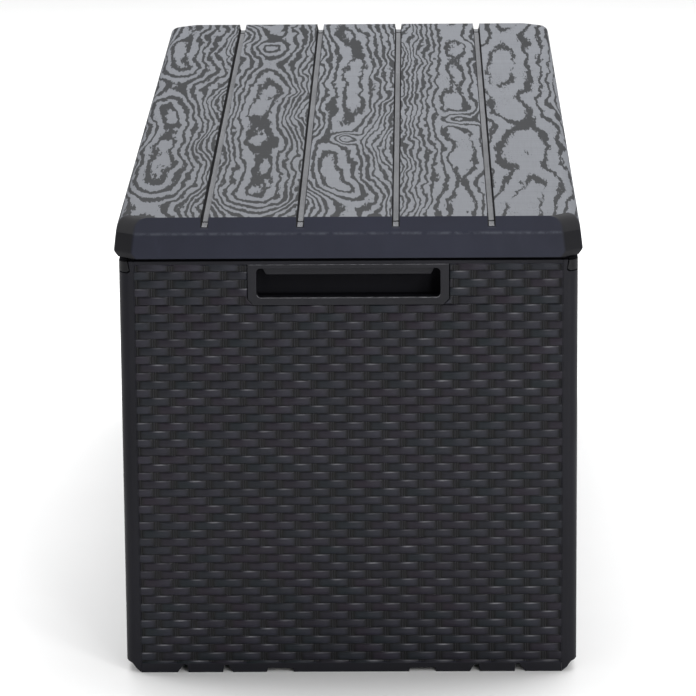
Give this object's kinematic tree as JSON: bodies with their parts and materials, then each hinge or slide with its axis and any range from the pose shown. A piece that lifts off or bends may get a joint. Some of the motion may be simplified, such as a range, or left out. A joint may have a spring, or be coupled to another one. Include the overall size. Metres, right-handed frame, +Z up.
{
  "type": "deck storage box",
  "caption": "Long outdoor storage chest with woven-relief walls, recessed hand slots in its ends, and a hinged lid moulded as a row of planks.",
  "frame": {"origin": "on the ground under the middle of the box", "axes": "+X along the box, -Y towards the front, +Y towards the hinge side, +Z up"},
  "size_m": [1.28, 0.54, 0.546],
  "materials": {
    "wall_plastic": "moulded satin, anthracite",
    "trim_plastic": "moulded satin, charcoal",
    "lid_plastic": "wood-grain print in greys on a dark skirt",
    "grip_plastic": "moulded matt, black",
    "steel": "zinc-plated",
    "rubber": "matt"
  },
  "bodies": {
    "box": {"floor_panel": "trim_plastic", "front_panel": "wall_plastic", "back_panel": "wall_plastic", "end_panel_left": "wall_plastic", "end_panel_right": "wall_plastic", "grip_plate_left": "wall_plastic", "grip_plate_right": "wall_plastic", "grip_pocket_left": "grip_plastic", "grip_pocket_right": "grip_plastic", "corner_clips": "trim_plastic", "panel_screws": "steel", "hinge_bracket_left": "trim_plastic", "hinge_bracket_centre": "trim_plastic", "hinge_bracket_right": "trim_plastic", "hinge_bracket_screws": "steel", "hinge_pin_left": "steel", "hinge_pin_centre": "steel", "hinge_pin_right": "steel"},
    "lid": {"lid_shell": "lid_plastic", "lid_hinge_left": "trim_plastic", "lid_hinge_centre": "trim_plastic", "lid_hinge_right": "trim_plastic", "lid_hinge_screws": "steel", "lid_brace_front": "steel", "lid_brace_back": "steel", "brace_clips": "trim_plastic", "brace_clip_screws": "steel", "lid_bumpers": "rubber"}
  },
  "joints": [
    {"name": "lid_hinge", "type": "hinge", "parent": "box", "child": "lid", "pos_m": [0, 0.263, 0.508], "axis": [-1, 0, 0], "range_deg": [0, 105]}
  ]
}
